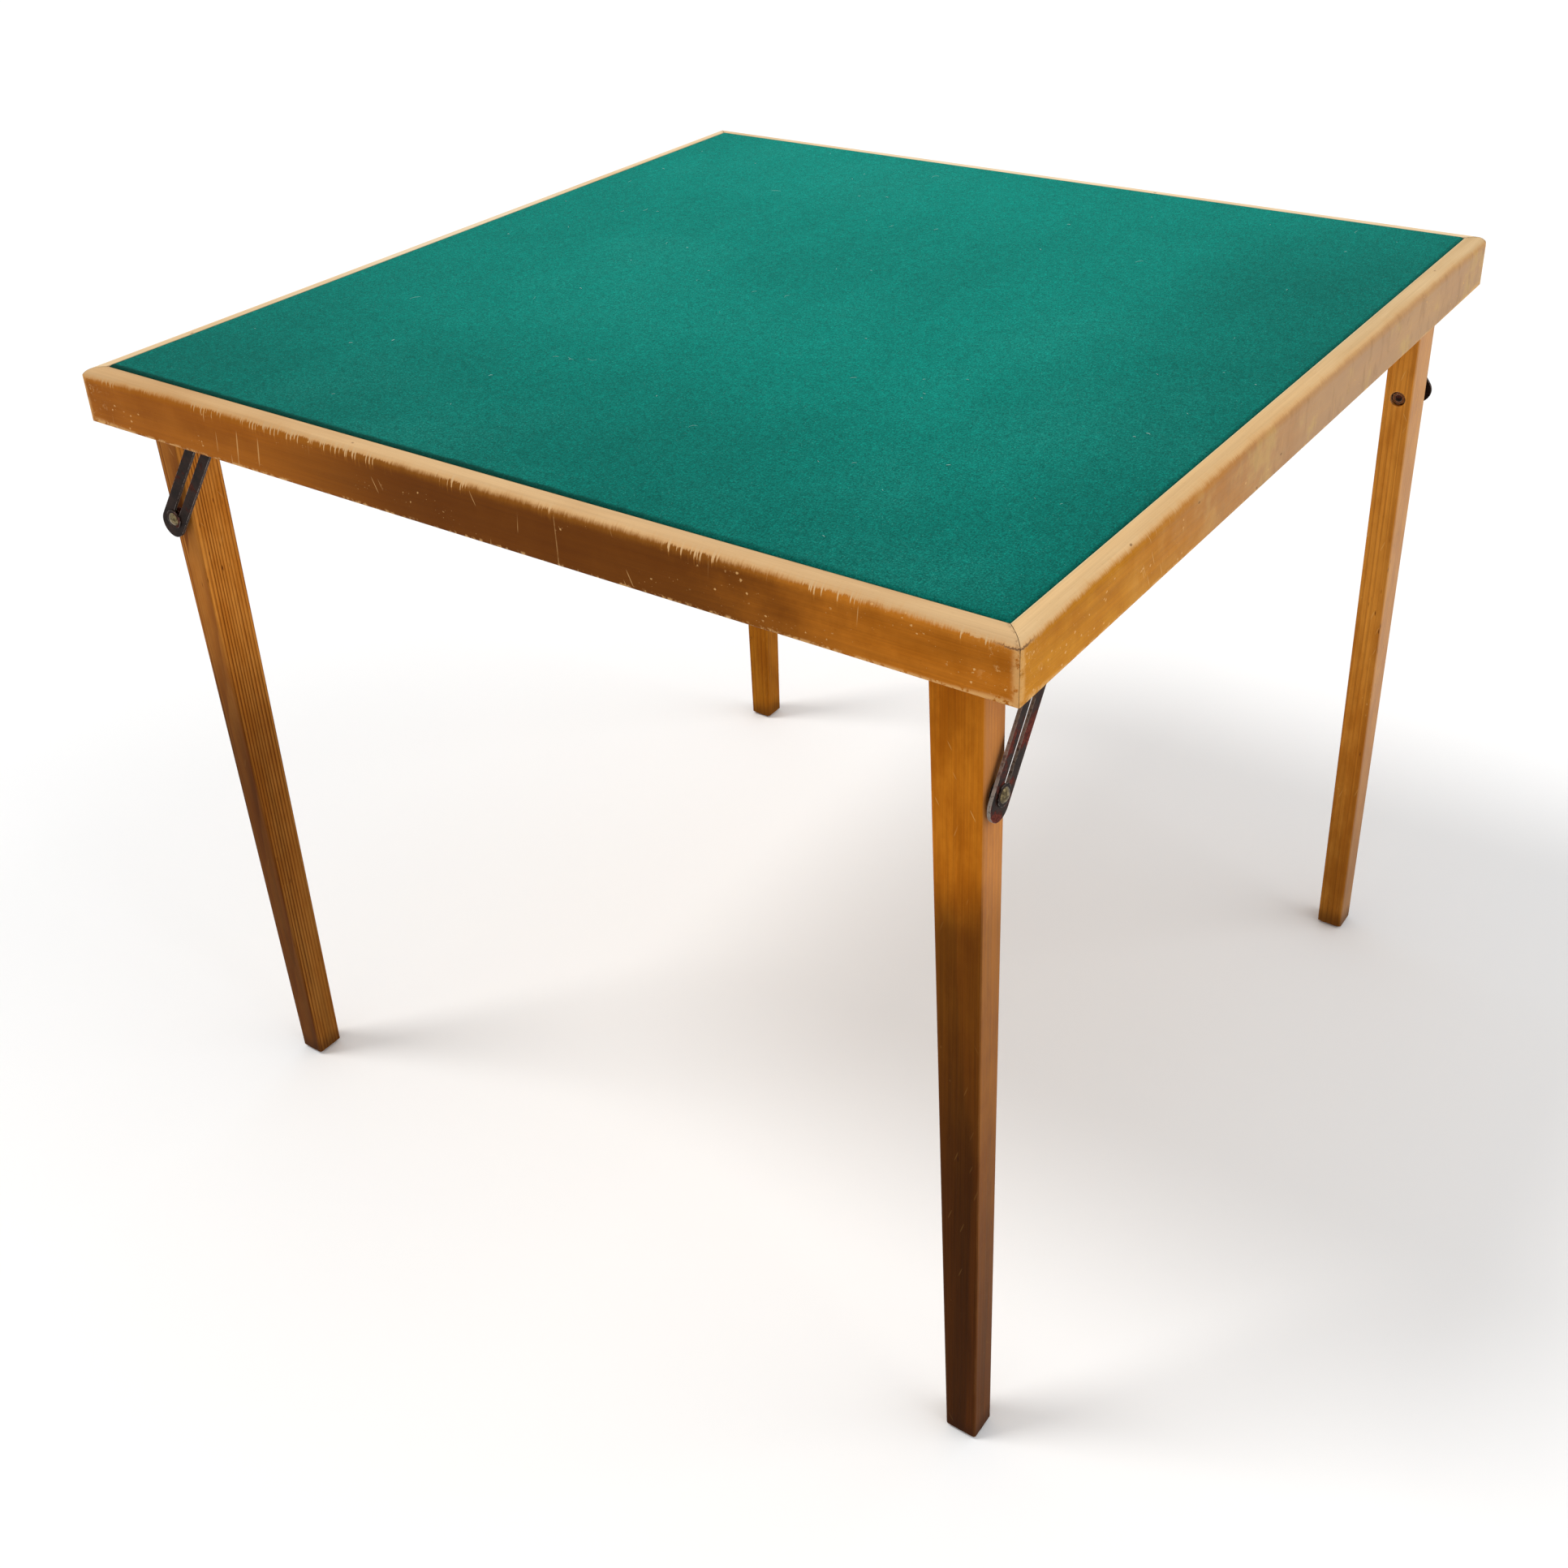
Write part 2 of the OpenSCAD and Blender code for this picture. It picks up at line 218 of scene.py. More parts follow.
def marks(p, across, along, slant, width, length, seed, more):
    """Sparse straight scratches on a flat face, 0 to 1. They slant from the second coordinate
    by an angle in radians, and more makes them denser."""
    c, d = math.cos(slant), math.sin(slant)
    u = p.add(p.mul(across, c / width), p.mul(along, -d / width))
    v = p.add(p.mul(across, d / length), p.mul(along, c / length))
    near = p.cells(p.join(p.mul(u, 0.11), p.mul(v, 0.11), seed))
    some = p.noise(p.join(p.mul(across, 14), p.mul(along, 14), seed + 0.5), 1, 1)
    return p.mul(p.step(near, 0.11, 0.07), p.step(p.add(some, more), 0.50, 0.60))


# ---- Wood: the legs --------------------------------------------------------------------------

# One row to a leg, in the order of CORNERS.
#   tones          varnish in its darker and lighter parts
#   ring           spacing of the yearly rings, and late, how dark they show
#   painted_sheen  share of painted grey sheen, standing for a grazing reflection, on the faces
#                  turned to the right
#   front_shade    share of painted shade, in brown, on the front face
#   dark           heights where the painted shade on the lower part begins and where it is full
#   front          depth of that painted shade on the front face: its upper end as a share of its
#                  foot, and the foot itself
#   sides          the same on the other faces
LEGS = (
    dict(tones=((158, 87, 11), (187, 112, 25)), ring=0.0026, late=0.12, painted_sheen=0.16,
         front_shade=0.0, dark=(0.51, 0.455), front=(0.80, 0.96), sides=(0.45, 0.80)),
    dict(tones=((177, 107, 32), (207, 137, 53)), ring=0.0034, late=0.26, painted_sheen=0.34,
         front_shade=0.0, dark=(0.32, 0.00), front=(0.91, 0.42), sides=(0.90, 0.40)),
    dict(tones=((168, 96, 15), (198, 124, 30)), ring=0.0030, late=0.28, painted_sheen=0.0,
         front_shade=0.0, dark=(0.35, 0.05), front=(0.91, 0.42), sides=(0.90, 0.42)),
    dict(tones=((191, 117, 38), (219, 147, 64)), ring=0.0028, late=0.90, painted_sheen=0.0,
         front_shade=0.58, dark=(0.50, 0.34), front=(0.91, 0.74), sides=(0.90, 0.66)),
)
# the lower leg is painted with shade, deepening downwards to these heights
DEEPENS_FROM = 0.48                 # height where the dark starts to deepen
FRONT_DEEPEST, SIDES_DEEPEST = 0.20, 0.04           # heights where it is deepest
FOOT_DARK_HEIGHT = 0.024
LEG_LATE_WOOD, LEG_FLECK = rgb(108, 50, 10), rgb(84, 36, 10)
# painted grey sheen for the faces turned to the right, and painted shade for the front face
LEG_PAINTED_SHEEN, LEG_FRONT_SHADE = rgb(190, 166, 140), rgb(118, 62, 18)
# painted shade of the lower leg, plain and over the rings
LEG_PAINTED_SHADE, LEG_PAINTED_SHADE_RING = rgb(64, 30, 5), rgb(38, 17, 4)
LEG_FOOT_DARK = rgb(46, 22, 12)
LEG_RUBBED, LEG_BARE = rgb(212, 160, 96), rgb(220, 168, 96)


class LegPaint(Paint):
    """Orange-brown varnish on straight-grained pine, dented, scratched and darker round the foot.
    Painted shade darkens the leg downwards and its front face, and a painted grey sheen lies on
    the faces turned to the right.
    """

    def __init__(self, name, seed, look):
        super().__init__(name)
        self.seed, self.look = seed, look
        self.at = grained(self, "Z", seed)
        x, y, self.height = self.split(self.place)
        self.across = self.add(x, y)
        to_right, to_back, _ = self.split(self.facing)
        self.on_right = self.step(to_right, 0.4, 0.9)
        self.on_front = self.step(to_back, -0.4, -0.9)
        self.fine = streaks(self, self.at, 900, 11)
        plain = self.noise(self.scaled(self.at, (45, 45, 3)), 1, 2)
        self.late = self.mul(figure(self, self.at, look["ring"]),
                             self.step(plain, 0.35, 0.60, 0.45, 1.0))
        self.wander = self.sub(self.noise(self.scaled(self.at, (30, 30, 6)), 1, 3), 0.5)
        # the lower part of the leg, where shade is painted
        self.low = self.step(self.add(self.height, self.mul(self.wander, 0.05)), *look["dark"])

    def varnish(self):
        """Cloudy varnish over the rings, with small brown flecks and a knot or two."""
        tone = self.noise(self.scaled(self.at, (22, 22, 2.2)), 1, 3, 0.55)
        cloud = self.noise(self.scaled(self.at, (70, 70, 26)), 1, 4, 0.65)
        mixed = self.add(self.mul(tone, 0.6), self.mul(cloud, 0.4))
        base = self.blend(self.step(mixed, 0.38, 0.62), *(rgb(*c) for c in self.look["tones"]))
        base = self.blend(self.mul(self.late, self.look["late"]), base, LEG_LATE_WOOD)
        base = self.shade(base, self.step(self.fine, 0.25, 0.75, 0.86, 1.10))
        fleck = self.cells(self.scaled(self.at, (260, 260, 42)))
        rare = self.noise(self.scaled(self.at, (18, 18, 7)), 1, 1)
        spots = self.mul(self.step(fleck, 0.16, 0.04), self.step(rare, 0.55, 0.66))
        base = self.blend(spots, base, LEG_FLECK)
        # painted sheen: the faces turned to the right are painted greyer, standing for a grazing
        # reflection
        base = self.blend(self.mul(self.on_right, self.look["painted_sheen"]), base, LEG_PAINTED_SHEEN)
        # painted shade: the front face is painted browner and darker
        return self.blend(self.mul(self.on_front, self.look["front_shade"]), base, LEG_FRONT_SHADE)

    def darkened(self, base):
        """Painted shade down the leg, deepest on the front face, and darker round the foot."""
        (front_upper, front), (sides_upper, sides) = self.look["front"], self.look["sides"]
        depth_sides = self.mul(self.step(self.height, DEEPENS_FROM, SIDES_DEEPEST,
                                         sides_upper, 1.0), sides)
        depth_front = self.mul(self.step(self.height, DEEPENS_FROM, FRONT_DEEPEST,
                                         front_upper, 1.0), front)
        depth = self.add(self.mul(self.sub(1.0, self.on_front), depth_sides),
                         self.mul(self.on_front, depth_front))
        flame = figure(self, self.scaled(self.at, (0.30, 0.30, 0.9)), 0.0040, 0.0336)
        shade_tone = self.blend(self.mul(flame, 0.75), LEG_PAINTED_SHADE, LEG_PAINTED_SHADE_RING)
        shade_tone = self.shade(shade_tone, self.step(self.fine, 0.25, 0.75, 0.80, 1.20))
        # painted shade over the lower part, deepest on the front face
        base = self.blend(self.mul(self.low, depth), base, shade_tone)
        foot = self.step(self.add(self.height, self.mul(self.wander, 0.02)),
                         FOOT_DARK_HEIGHT, 0.004)
        return self.blend(self.mul(foot, 0.55), base, LEG_FOOT_DARK)

    def rubbed(self):
        """Pale wear along the arrises, broken up."""
        broken = self.noise(self.scaled(self.at, (140, 140, 30)), 1, 3, 0.6)
        arris = self.mul(self.edge(0.0022), self.step(broken, 0.40, 0.62))
        return self.mul(arris, self.sub(1.0, self.mul(self.low, 0.6)))

    def knocked(self):
        """Short scratches and little chips down to bare wood."""
        scratch = self.most(
            marks(self, self.across, self.height, 0.30, 0.0005, 0.006, self.seed, 0.05),
            marks(self, self.across, self.height, -0.5, 0.0005, 0.005, self.seed + 6.0, 0.02))
        chip = self.step(self.cells(self.scaled(self.at, (190, 190, 110))), 0.15, 0.08)
        few = self.noise(self.scaled(self.at, (25, 25, 14)), 1, 1)
        chip = self.mul(chip, self.step(few, 0.60, 0.68))
        return self.mul(self.most(self.mul(scratch, 0.8), chip),
                        self.sub(1.0, self.mul(self.low, 0.85)))

    def wood(self):
        arris, bare = self.rubbed(), self.knocked()
        base = self.darkened(self.varnish())
        base = self.blend(self.mul(arris, 0.50), base, LEG_RUBBED)
        base = self.blend(self.mul(bare, 0.50), base, LEG_BARE)
        rough = self.step(self.fine, 0.2, 0.8, 0.34, 0.48)
        rough = self.add(rough, self.mul(self.most(bare, arris), 0.25))
        normal = self.bump(self.sub(self.fine, self.mul(self.late, 0.5)), 0.00012, 0.55)
        normal = self.bump(self.sub(1.0, bare), 0.00025, 0.6, normal)
        return self.finish(base, rough, normal, Specular_IOR_Level=0.25, IOR=1.1)


# ---- Wood: the rails -------------------------------------------------------------------------

RAIL_TONES = {      # varnish where it is thick and thin, and the bare wood dull and bright
    "front": ((153, 86, 15), (177, 105, 28), (190, 150, 104), (208, 172, 126)),
    "right": ((174, 107, 14), (196, 131, 32), (212, 174, 124), (228, 194, 146)),
    "back": ((156, 86, 16), (178, 108, 30), (218, 186, 142), (232, 208, 172)),
    "left": ((160, 92, 20), (182, 114, 34), (218, 186, 142), (232, 208, 172)),
}
# Places along a rail, from its middle, each as where a change starts and where it is complete.
BROWNER_FROM = (0.34, 0.16)                            # front: browner varnish
PAINTED_SHADOW_PART = ((-0.24, -0.04), (0.33, 0.17))          # front: painted shadow
STROKES_PART = ((-0.24, -0.18), (-0.02, -0.09))     # front: most strokes below the band
CUTS_PART = ((-0.335, -0.305), (-0.17, -0.21))      # front: most scratches
SCUFF_AT = 0.072                                    # front: one upright scuff
SHEEN_FROM = (-0.30, 0.06)                           # right: painted greyish sheen
DULL_TOP_FROM = (-0.10, 0.20)                       # right: duller bare wood
# How far down the worn band reaches, in the middle of a rail and at its ends.
BAND_REACH = (0.0038, 0.0056)
END_REGION = 0.10                   # distance from the end over which that changes
OUTER_FACE = (HALF - 0.0060, HALF - 0.0020)         # from the rounded top to the outer face
CLOTH_SIDE = (HALF - 0.0136, HALF - 0.0148)         # the angle beside the cloth
MITRE_HALF_WIDTH, MITRE_DIRT_REACH = 0.00032, 0.0040
PALE_FLECK, VARNISH_FLECK = rgb(150, 96, 50), rgb(92, 44, 12)
# front rail: browner varnish, and the painted shadow over the middle
BROWNER_VARNISH, PAINTED_SHADOW_VARNISH = rgb(116, 58, 8), rgb(70, 34, 9)
# right rail: painted greyish sheen, with streaks and golden patches in it
PAINTED_SHEEN_GREY, SHEEN_SMEAR, SHEEN_GOLD = rgb(174, 146, 116), rgb(148, 112, 76), rgb(196, 162, 92)
BAND_GOLD, FRINGE_GOLD = rgb(200, 136, 60), rgb(200, 132, 50)
CHIPPED = rgb(220, 172, 110)
MITRE_LINE, MITRE_DIRT, CORNER_CRACK = rgb(58, 36, 22), rgb(92, 62, 44), rgb(66, 44, 40)
BRUISE = rgb(70, 36, 18)
# the angle beside the cloth: painted highlight on the right rail, painted shade on the others
CLOTH_EDGE_HIGHLIGHT, RIM_PAINTED_SHADE = rgb(222, 216, 178), rgb(120, 84, 46)


class RailPaint(Paint):
    """Honey varnish on close-grained hardwood, worn through to pale wood along the rounded top."""

    def __init__(self, side):
        super().__init__("rail_wood_" + side)
        self.side, self.seed = side, SIDES.index(side)
        lies_along_y = side in ("right", "left")
        self.at = grained(self, "Y" if lies_along_y else "X", self.seed + 6)
        x, y, self.height = self.split(self.place)
        self.run = y if lies_along_y else x               # along the rail, 0 in the middle
        self.out = self.most(self.size(x), self.size(y))
        along = self.least(self.size(x), self.size(y))
        self.down, self.to_end = self.sub(TOP, self.height), self.sub(HALF, along)
        self.from_mitre = self.size(self.sub(self.out, along))
        # 1 at the front right corner, the most knocked of the four
        from_corner = self.add(self.sub(HALF, x), self.add(y, HALF))
        self.worst = self.step(from_corner, 0.30, 0.03)
        self.fine = streaks(self, self.at, 1100, 9)
        self.broad = streaks(self, self.at, 170, 3.0, 2.0)
        self.fleck = self.cells(self.scaled(self.at, (620, 620, 150)))
        self.tone = self.noise(self.scaled(self.at, (14, 30, 3.0)), 1, 4, 0.6)
        self.cloud = self.noise(self.place, 26, 4, 0.65)
        self.rub = self.noise(self.join(*(self.mul(v, 150) for v in
                                          (self.run, self.height, self.out))), 1, 5, 0.75)
        self.rich, self.thin, self.dull, self.bright = (rgb(*c) for c in RAIL_TONES[side])

    def on_face(self, run_scale, height_scale, seed):
        """Place on the rail's outer face, for a pattern laid flat on it with its own scales."""
        return self.join(self.mul(self.run, run_scale), self.mul(self.height, height_scale),
                         self.seed + seed)

    def bare_top(self):
        pale = self.blend(self.step(self.tone, 0.35, 0.65), self.dull, self.bright)
        pale = self.shade(pale, self.step(self.broad, 0.3, 0.7, 0.93, 1.04))
        pale = self.shade(pale, self.step(self.fine, 0.25, 0.75, 0.94, 1.05))
        pale = self.blend(self.mul(self.step(self.fleck, 0.22, 0.05), 0.14), pale, PALE_FLECK)
        if self.side == "right":
            pale = self.shade(pale, self.step(self.run, *DULL_TOP_FROM, 1.0, 0.80))
        return pale

    def varnish(self):
        mixed = self.add(self.mul(self.tone, 0.6), self.mul(self.cloud, 0.4))
        skin = self.blend(self.step(mixed, 0.38, 0.62), self.rich, self.thin)
        skin = self.shade(skin, self.step(self.broad, 0.3, 0.7, 0.90, 1.06))
        skin = self.shade(skin, self.step(self.fine, 0.25, 0.75, 0.90, 1.07))
        skin = self.blend(self.mul(self.step(self.fleck, 0.20, 0.05), 0.22), skin, VARNISH_FLECK)
        uneven = self.mul(self.sub(self.cloud, 0.5), 0.09 if self.side == "front" else 0.20)
        drift = self.add(self.run, uneven)
        if self.side == "front":
            # browner varnish from the left end to a little past the middle, and painted shadow
            # over the middle
            browner = self.step(drift, *BROWNER_FROM)
            skin = self.blend(self.mul(browner, 0.40), skin, BROWNER_VARNISH)
            dark = self.between(drift, *PAINTED_SHADOW_PART)
            skin = self.blend(self.mul(dark, 0.70), skin, PAINTED_SHADOW_VARNISH)
        if self.side == "right":
            # painted sheen: a greyish veil, standing for grazing reflection, painted towards the
            # far end, with streaks and golden patches in it
            painted_sheen = self.step(drift, *SHEEN_FROM)
            skin = self.blend(self.mul(painted_sheen, 0.68), skin, PAINTED_SHEEN_GREY)
            smear = self.join(self.mul(self.run, 85), 0.0, self.mul(self.height, 30))
            smear = self.step(self.noise(smear, 1, 5, 0.65, 0.6), 0.50, 0.64)
            skin = self.blend(self.mul(self.mul(smear, painted_sheen), 0.42), skin, SHEEN_SMEAR)
            gold = self.step(self.cloud, 0.52, 0.66)
            skin = self.blend(self.mul(self.mul(gold, painted_sheen), 0.40), skin, SHEEN_GOLD)
        return skin

    def border(self):
        """Distance below the worn band's lower edge, and how soft that edge is: soft in places,
        ragged with short strokes in others."""
        ragged = self.sub(self.noise(self.on_face(75, 60, 0.0), 1, 8, 0.75), 0.5)
        patch = self.join(self.mul(self.run, 13), 0.0, self.seed + 4.0)
        patch = self.noise(patch, 1, 2)
        if self.side == "front":
            patch = self.add(patch, self.mul(self.between(self.run, *STROKES_PART), 0.08))
        struck = self.step(patch, *((0.60, 0.70) if self.side == "right" else (0.50, 0.58)))
        tooth = self.mul(self.step(self.cells(self.on_face(560, 42, 0.0)), 0.42, 0.20), struck)
        fray = self.sub(self.noise(self.on_face(800, 160, 6.0), 1, 4, 0.65), 0.5)
        reach = self.step(self.to_end, END_REGION, 0.0, *BAND_REACH)
        reach = self.add(reach, self.mul(ragged, 0.0042))
        reach = self.add(reach, self.add(self.mul(tooth, 0.0046), self.mul(fray, 0.0040)))
        return self.sub(self.down, reach), self.sub(0.0019, self.mul(struck, 0.0013))

    def rubbed_edges(self):
        """Wear along the lower arris, the upright corner edges, and near the rail's ends."""
        nearby = self.step(self.to_end, 0.30, 0.02, 0.02, 0.11)
        reach = self.step(self.to_end, 0.050, 0.006, 0.0034, 0.0062)
        lower = self.step(self.sub(self.height, RAIL_LOW), reach, self.mul(reach, 0.3))
        lower = self.mul(lower, self.step(self.add(self.rub, nearby), 0.54, 0.62))
        upright = self.mul(self.step(self.to_end, 0.0070, 0.0022),
                           self.step(self.rub, 0.34, 0.52))
        near_end = self.mul(self.step(self.to_end, 0.034, 0.004), self.step(self.rub, 0.56, 0.63))
        return self.most(self.most(lower, upright), self.mul(near_end, 0.8))

    def scratched(self, slant, width, length, seed, more):
        """Scratches of one kind on the rail's outer face."""
        return marks(self, self.run, self.height, slant, width, length, self.seed + seed, more)

    def scratches(self):
        """Thin scratches all over, and on the front rail longer cuts left of the middle and one
        upright scuff."""
        front = self.side == "front"
        busy = self.mul(self.between(self.run, *CUTS_PART), 0.16) if front else 0.0
        scratch = self.most(self.scratched(0.10, 0.0004, 0.010, 1.0, busy),
                            self.scratched(-0.42, 0.0004, 0.007, 5.0, busy))
        if not front:
            return scratch
        cut = self.most(self.scratched(-0.32, 0.0008, 0.017, 11.0, 0.30),
                        self.scratched(0.16, 0.0008, 0.013, 15.0, 0.30))
        scratch = self.most(scratch, self.mul(cut, self.step(busy, 0.04, 0.12, 0.0, 0.85)))
        sway = self.mul(self.sub(self.cloud, 0.5), 0.0008)
        scuff = self.size(self.add(self.sub(self.run, SCUFF_AT), sway))
        scuff = self.mul(self.step(scuff, 0.0006, 0.0002),
                         self.step(self.rub, 0.36, 0.56, 0.15, 0.55))
        return self.most(scratch, scuff)

    def chips(self, past):
        """Jagged chips and smaller specks, gathered near the ends and most at the worst corner."""
        few = self.add(self.noise(self.on_face(21, 40, 5.0), 1, 2),
                       self.mul(self.worst, 0.115 if self.side == "right" else 0.075))
        few = self.add(few, self.step(self.to_end, 0.22, 0.02, 0.0, 0.02))
        few = self.add(few, self.mul(self.mul(self.step(past, 0.011, 0.001), self.worst), 0.045))
        jagged = self.noise(self.on_face(520, 520, 3.0), 1, 3, 0.7)
        torn = self.mul(self.sub(jagged, 0.5), 0.42)
        chip_at = self.join(self.mul(self.run, 150), self.mul(self.height, 175),
                            self.mul(self.sub(HALF, self.out), 160))
        chip = self.mul(self.step(self.add(self.cells(chip_at), torn), 0.16, 0.10),
                        self.step(few, 0.585, 0.625))
        speck = self.add(self.cells(self.on_face(330, 420, 2.0)), torn)
        tiny = self.mul(self.step(speck, 0.12, 0.05), self.step(few, 0.54, 0.60))
        return self.most(chip, self.mul(tiny, 0.7))

    def darkened(self, base, past):
        """Dark hairline of the mitre with dirt beside it, grime in the crack that runs from the
        worst corner along the band's edge, and brown bruises."""
        line = self.mul(self.step(self.from_mitre, MITRE_HALF_WIDTH, 0.00020),
                        self.step(self.rub, 0.36, 0.50, 0.30, 1.0))
        line = self.mul(line, self.step(self.down, 0.006, 0.014, 1.0, 0.30))
        base = self.blend(line, base, MITRE_LINE)
        dirt = self.mul(self.step(self.from_mitre, MITRE_DIRT_REACH, 0.0004),
                        self.step(self.rub, 0.52, 0.60))
        dirt = self.mul(dirt, self.step(self.down, 0.005, 0.013, 1.0, 0.25))
        base = self.blend(self.mul(dirt, 0.50), base, MITRE_DIRT)
        crack = self.mul(self.step(self.size(past), 0.0008, 0.0002),
                         self.step(self.to_end, 0.022, 0.004))
        base = self.blend(self.mul(self.mul(crack, self.worst), 0.75), base, CORNER_CRACK)
        dot = self.step(self.cells(self.scaled(self.at, (60, 60, 34))), 0.075, 0.045)
        few = self.noise(self.scaled(self.at, (8, 8, 5)), 1, 1)
        dot = self.mul(dot, self.step(few, 0.54, 0.60))
        return self.blend(self.mul(dot, 0.6), base, BRUISE)

    def beside_cloth(self, base):
        """The angle beside the cloth: painted shade, or on the right a painted pale highlight."""
        inner = self.mul(self.step(self.out, *CLOTH_SIDE),
                         self.step(self.down, 0.0040, 0.0030))
        painted_light, share = (CLOTH_EDGE_HIGHLIGHT, 0.7) if self.side == "right" else (RIM_PAINTED_SHADE, 0.5)
        return self.blend(self.mul(inner, share), base, painted_light)

    def wood(self):
        past, soft = self.border()
        band = self.step(past, soft, self.mul(soft, -1.0))
        bare = self.most(self.mul(self.scratches(), 0.8), self.chips(past))
        bare = self.most(bare, self.rubbed_edges())
        bare = self.mul(bare, self.step(self.out, *OUTER_FACE))
        worn = self.most(band, bare)
        # the band turns golden before it ends, and half-worn varnish goes on below it
        warm, fringe = self.step(past, -0.0036, 0.0004), self.step(past, 0.0060, 0.0)
        pale = self.blend(self.mul(warm, 0.36), self.bare_top(), BAND_GOLD)
        base = self.blend(self.mul(fringe, 0.20), self.varnish(), FRINGE_GOLD)
        base = self.blend(self.mul(bare, 0.66), base, CHIPPED)
        base = self.blend(band, base, pale)
        base = self.beside_cloth(self.darkened(base, past))
        rough = self.add(self.step(self.fine, 0.2, 0.8, 0.30, 0.42), self.mul(worn, 0.22))
        normal = self.bump(self.fine, 0.00010, 0.5)
        normal = self.bump(self.sub(1.0, worn), 0.00018, 0.7, normal)
        normal = self.bump(self.cloud, 0.0006, 0.25, normal)
        return self.finish(base, rough, normal, Specular_IOR_Level=0.25, IOR=1.12)


# ---- Wood: inside the frame ------------------------------------------------------------------

BLOCK_PINE = (rgb(206, 168, 116), rgb(164, 112, 62))        # light and dark
BATTEN_PINE = (rgb(214, 178, 126), rgb(172, 120, 68))
SPLINE_BEECH = (rgb(204, 160, 112), rgb(170, 118, 72))
VENEER, VENEER_FIGURE, VENEER_PORE = rgb(214, 182, 138), rgb(184, 142, 96), rgb(130, 92, 58)
VENEER_STAIN, PLY_EDGE, PINE_SPOT = rgb(150, 112, 72), rgb(140, 98, 60), rgb(120, 88, 56)


def bare_wood(name, axis, seed, tones, ring=0.0042, strength=0.45):
    """Planed wood with no finish."""
    p = Paint(name)
    light, dark = tones
    at = grained(p, axis, seed)
    late = figure(p, at, ring)
    fine = streaks(p, at, 800, 12)
    tone = p.noise(p.scaled(at, (18, 18, 2.4)), 1, 3)
    base = p.blend(p.step(tone, 0.3, 0.7), light, p.shade(light, 0.86))
    base = p.blend(p.mul(late, strength), base, dark)
    base = p.shade(base, p.step(fine, 0.2, 0.8, 0.90, 1.06))
    spot = p.noise(p.scaled(p.place, (40, 40, 40)), 1, 3)
    base = p.blend(p.mul(p.step(spot, 0.56, 0.72), 0.3), base, PINE_SPOT)
    return p.finish(base, p.step(fine, 0.2, 0.8, 0.62, 0.78),
                    p.bump(p.sub(fine, late), 0.0002, 0.6), Specular_IOR_Level=0.3)


def plywood():
    """Birch plywood: pale veneer with a broad figure, plies on the edge."""
    p = Paint("plywood_panel")
    at = grained(p, "X", 12)
    broad = figure(p, p.scaled(at, (0.16, 0.16, 0.6)), 0.0042, 0.032)
    fine = streaks(p, at, 420, 7)
    pores = p.cells(p.scaled(at, (520, 520, 60)))
    base = p.blend(p.mul(broad, 0.35), VENEER, VENEER_FIGURE)
    base = p.shade(base, p.step(fine, 0.2, 0.8, 0.90, 1.05))
    base = p.blend(p.mul(p.step(pores, 0.20, 0.06), 0.3), base, VENEER_PORE)
    stain = p.noise(p.scaled(p.place, (7, 7, 7)), 1, 4, 0.6)
    base = p.blend(p.mul(p.step(stain, 0.50, 0.70), 0.32), base, VENEER_STAIN)
    x, y, z = p.split(p.place)
    rim = p.step(p.most(p.size(x), p.size(y)), PANEL_HALF - 0.0007, PANEL_HALF - 0.0001)
    ply = p.math("FRACT", p.mul(z, 600))
    base = p.blend(p.mul(rim, p.step(ply, 0.45, 0.55)), base, PLY_EDGE)
    return p.finish(base, 0.66, p.bump(fine, 0.00012, 0.5), Specular_IOR_Level=0.3)


# ---- Metal -----------------------------------------------------------------------------------

# One row to a stay, in the order of CORNERS: how rusty it is, the axis that its thickness lies
# along, how far its narrow sides are paled by wear and painted highlight, and the height that
# most rust lies below.
STAYS = (
    dict(rust=0.90, thin="x", sides=0.60, rust_below=0.600),
    dict(rust=0.35, thin="y", sides=0.20),
    dict(rust=0.40, thin="x", sides=0.20),
    dict(rust=0.15, thin="y", sides=0.10),
)
STEEL_DARK, STEEL_LIGHT = rgb(28, 18, 14), rgb(46, 31, 25)
STEEL_RUBBED, STEEL_NARROW_WEAR_AND_HIGHLIGHT = rgb(168, 158, 150), rgb(160, 148, 136)
RED_RUST = (rgb(78, 32, 26), rgb(116, 56, 44))
BROWN_RUST = (rgb(92, 54, 30), rgb(136, 88, 52))
ZINC, ZINC_DULL, ZINC_STAIN = rgb(176, 174, 168), rgb(128, 122, 112), rgb(124, 92, 64)
BRASS_DARK, BRASS_BRIGHT = rgb(80, 68, 45), rgb(138, 122, 88)


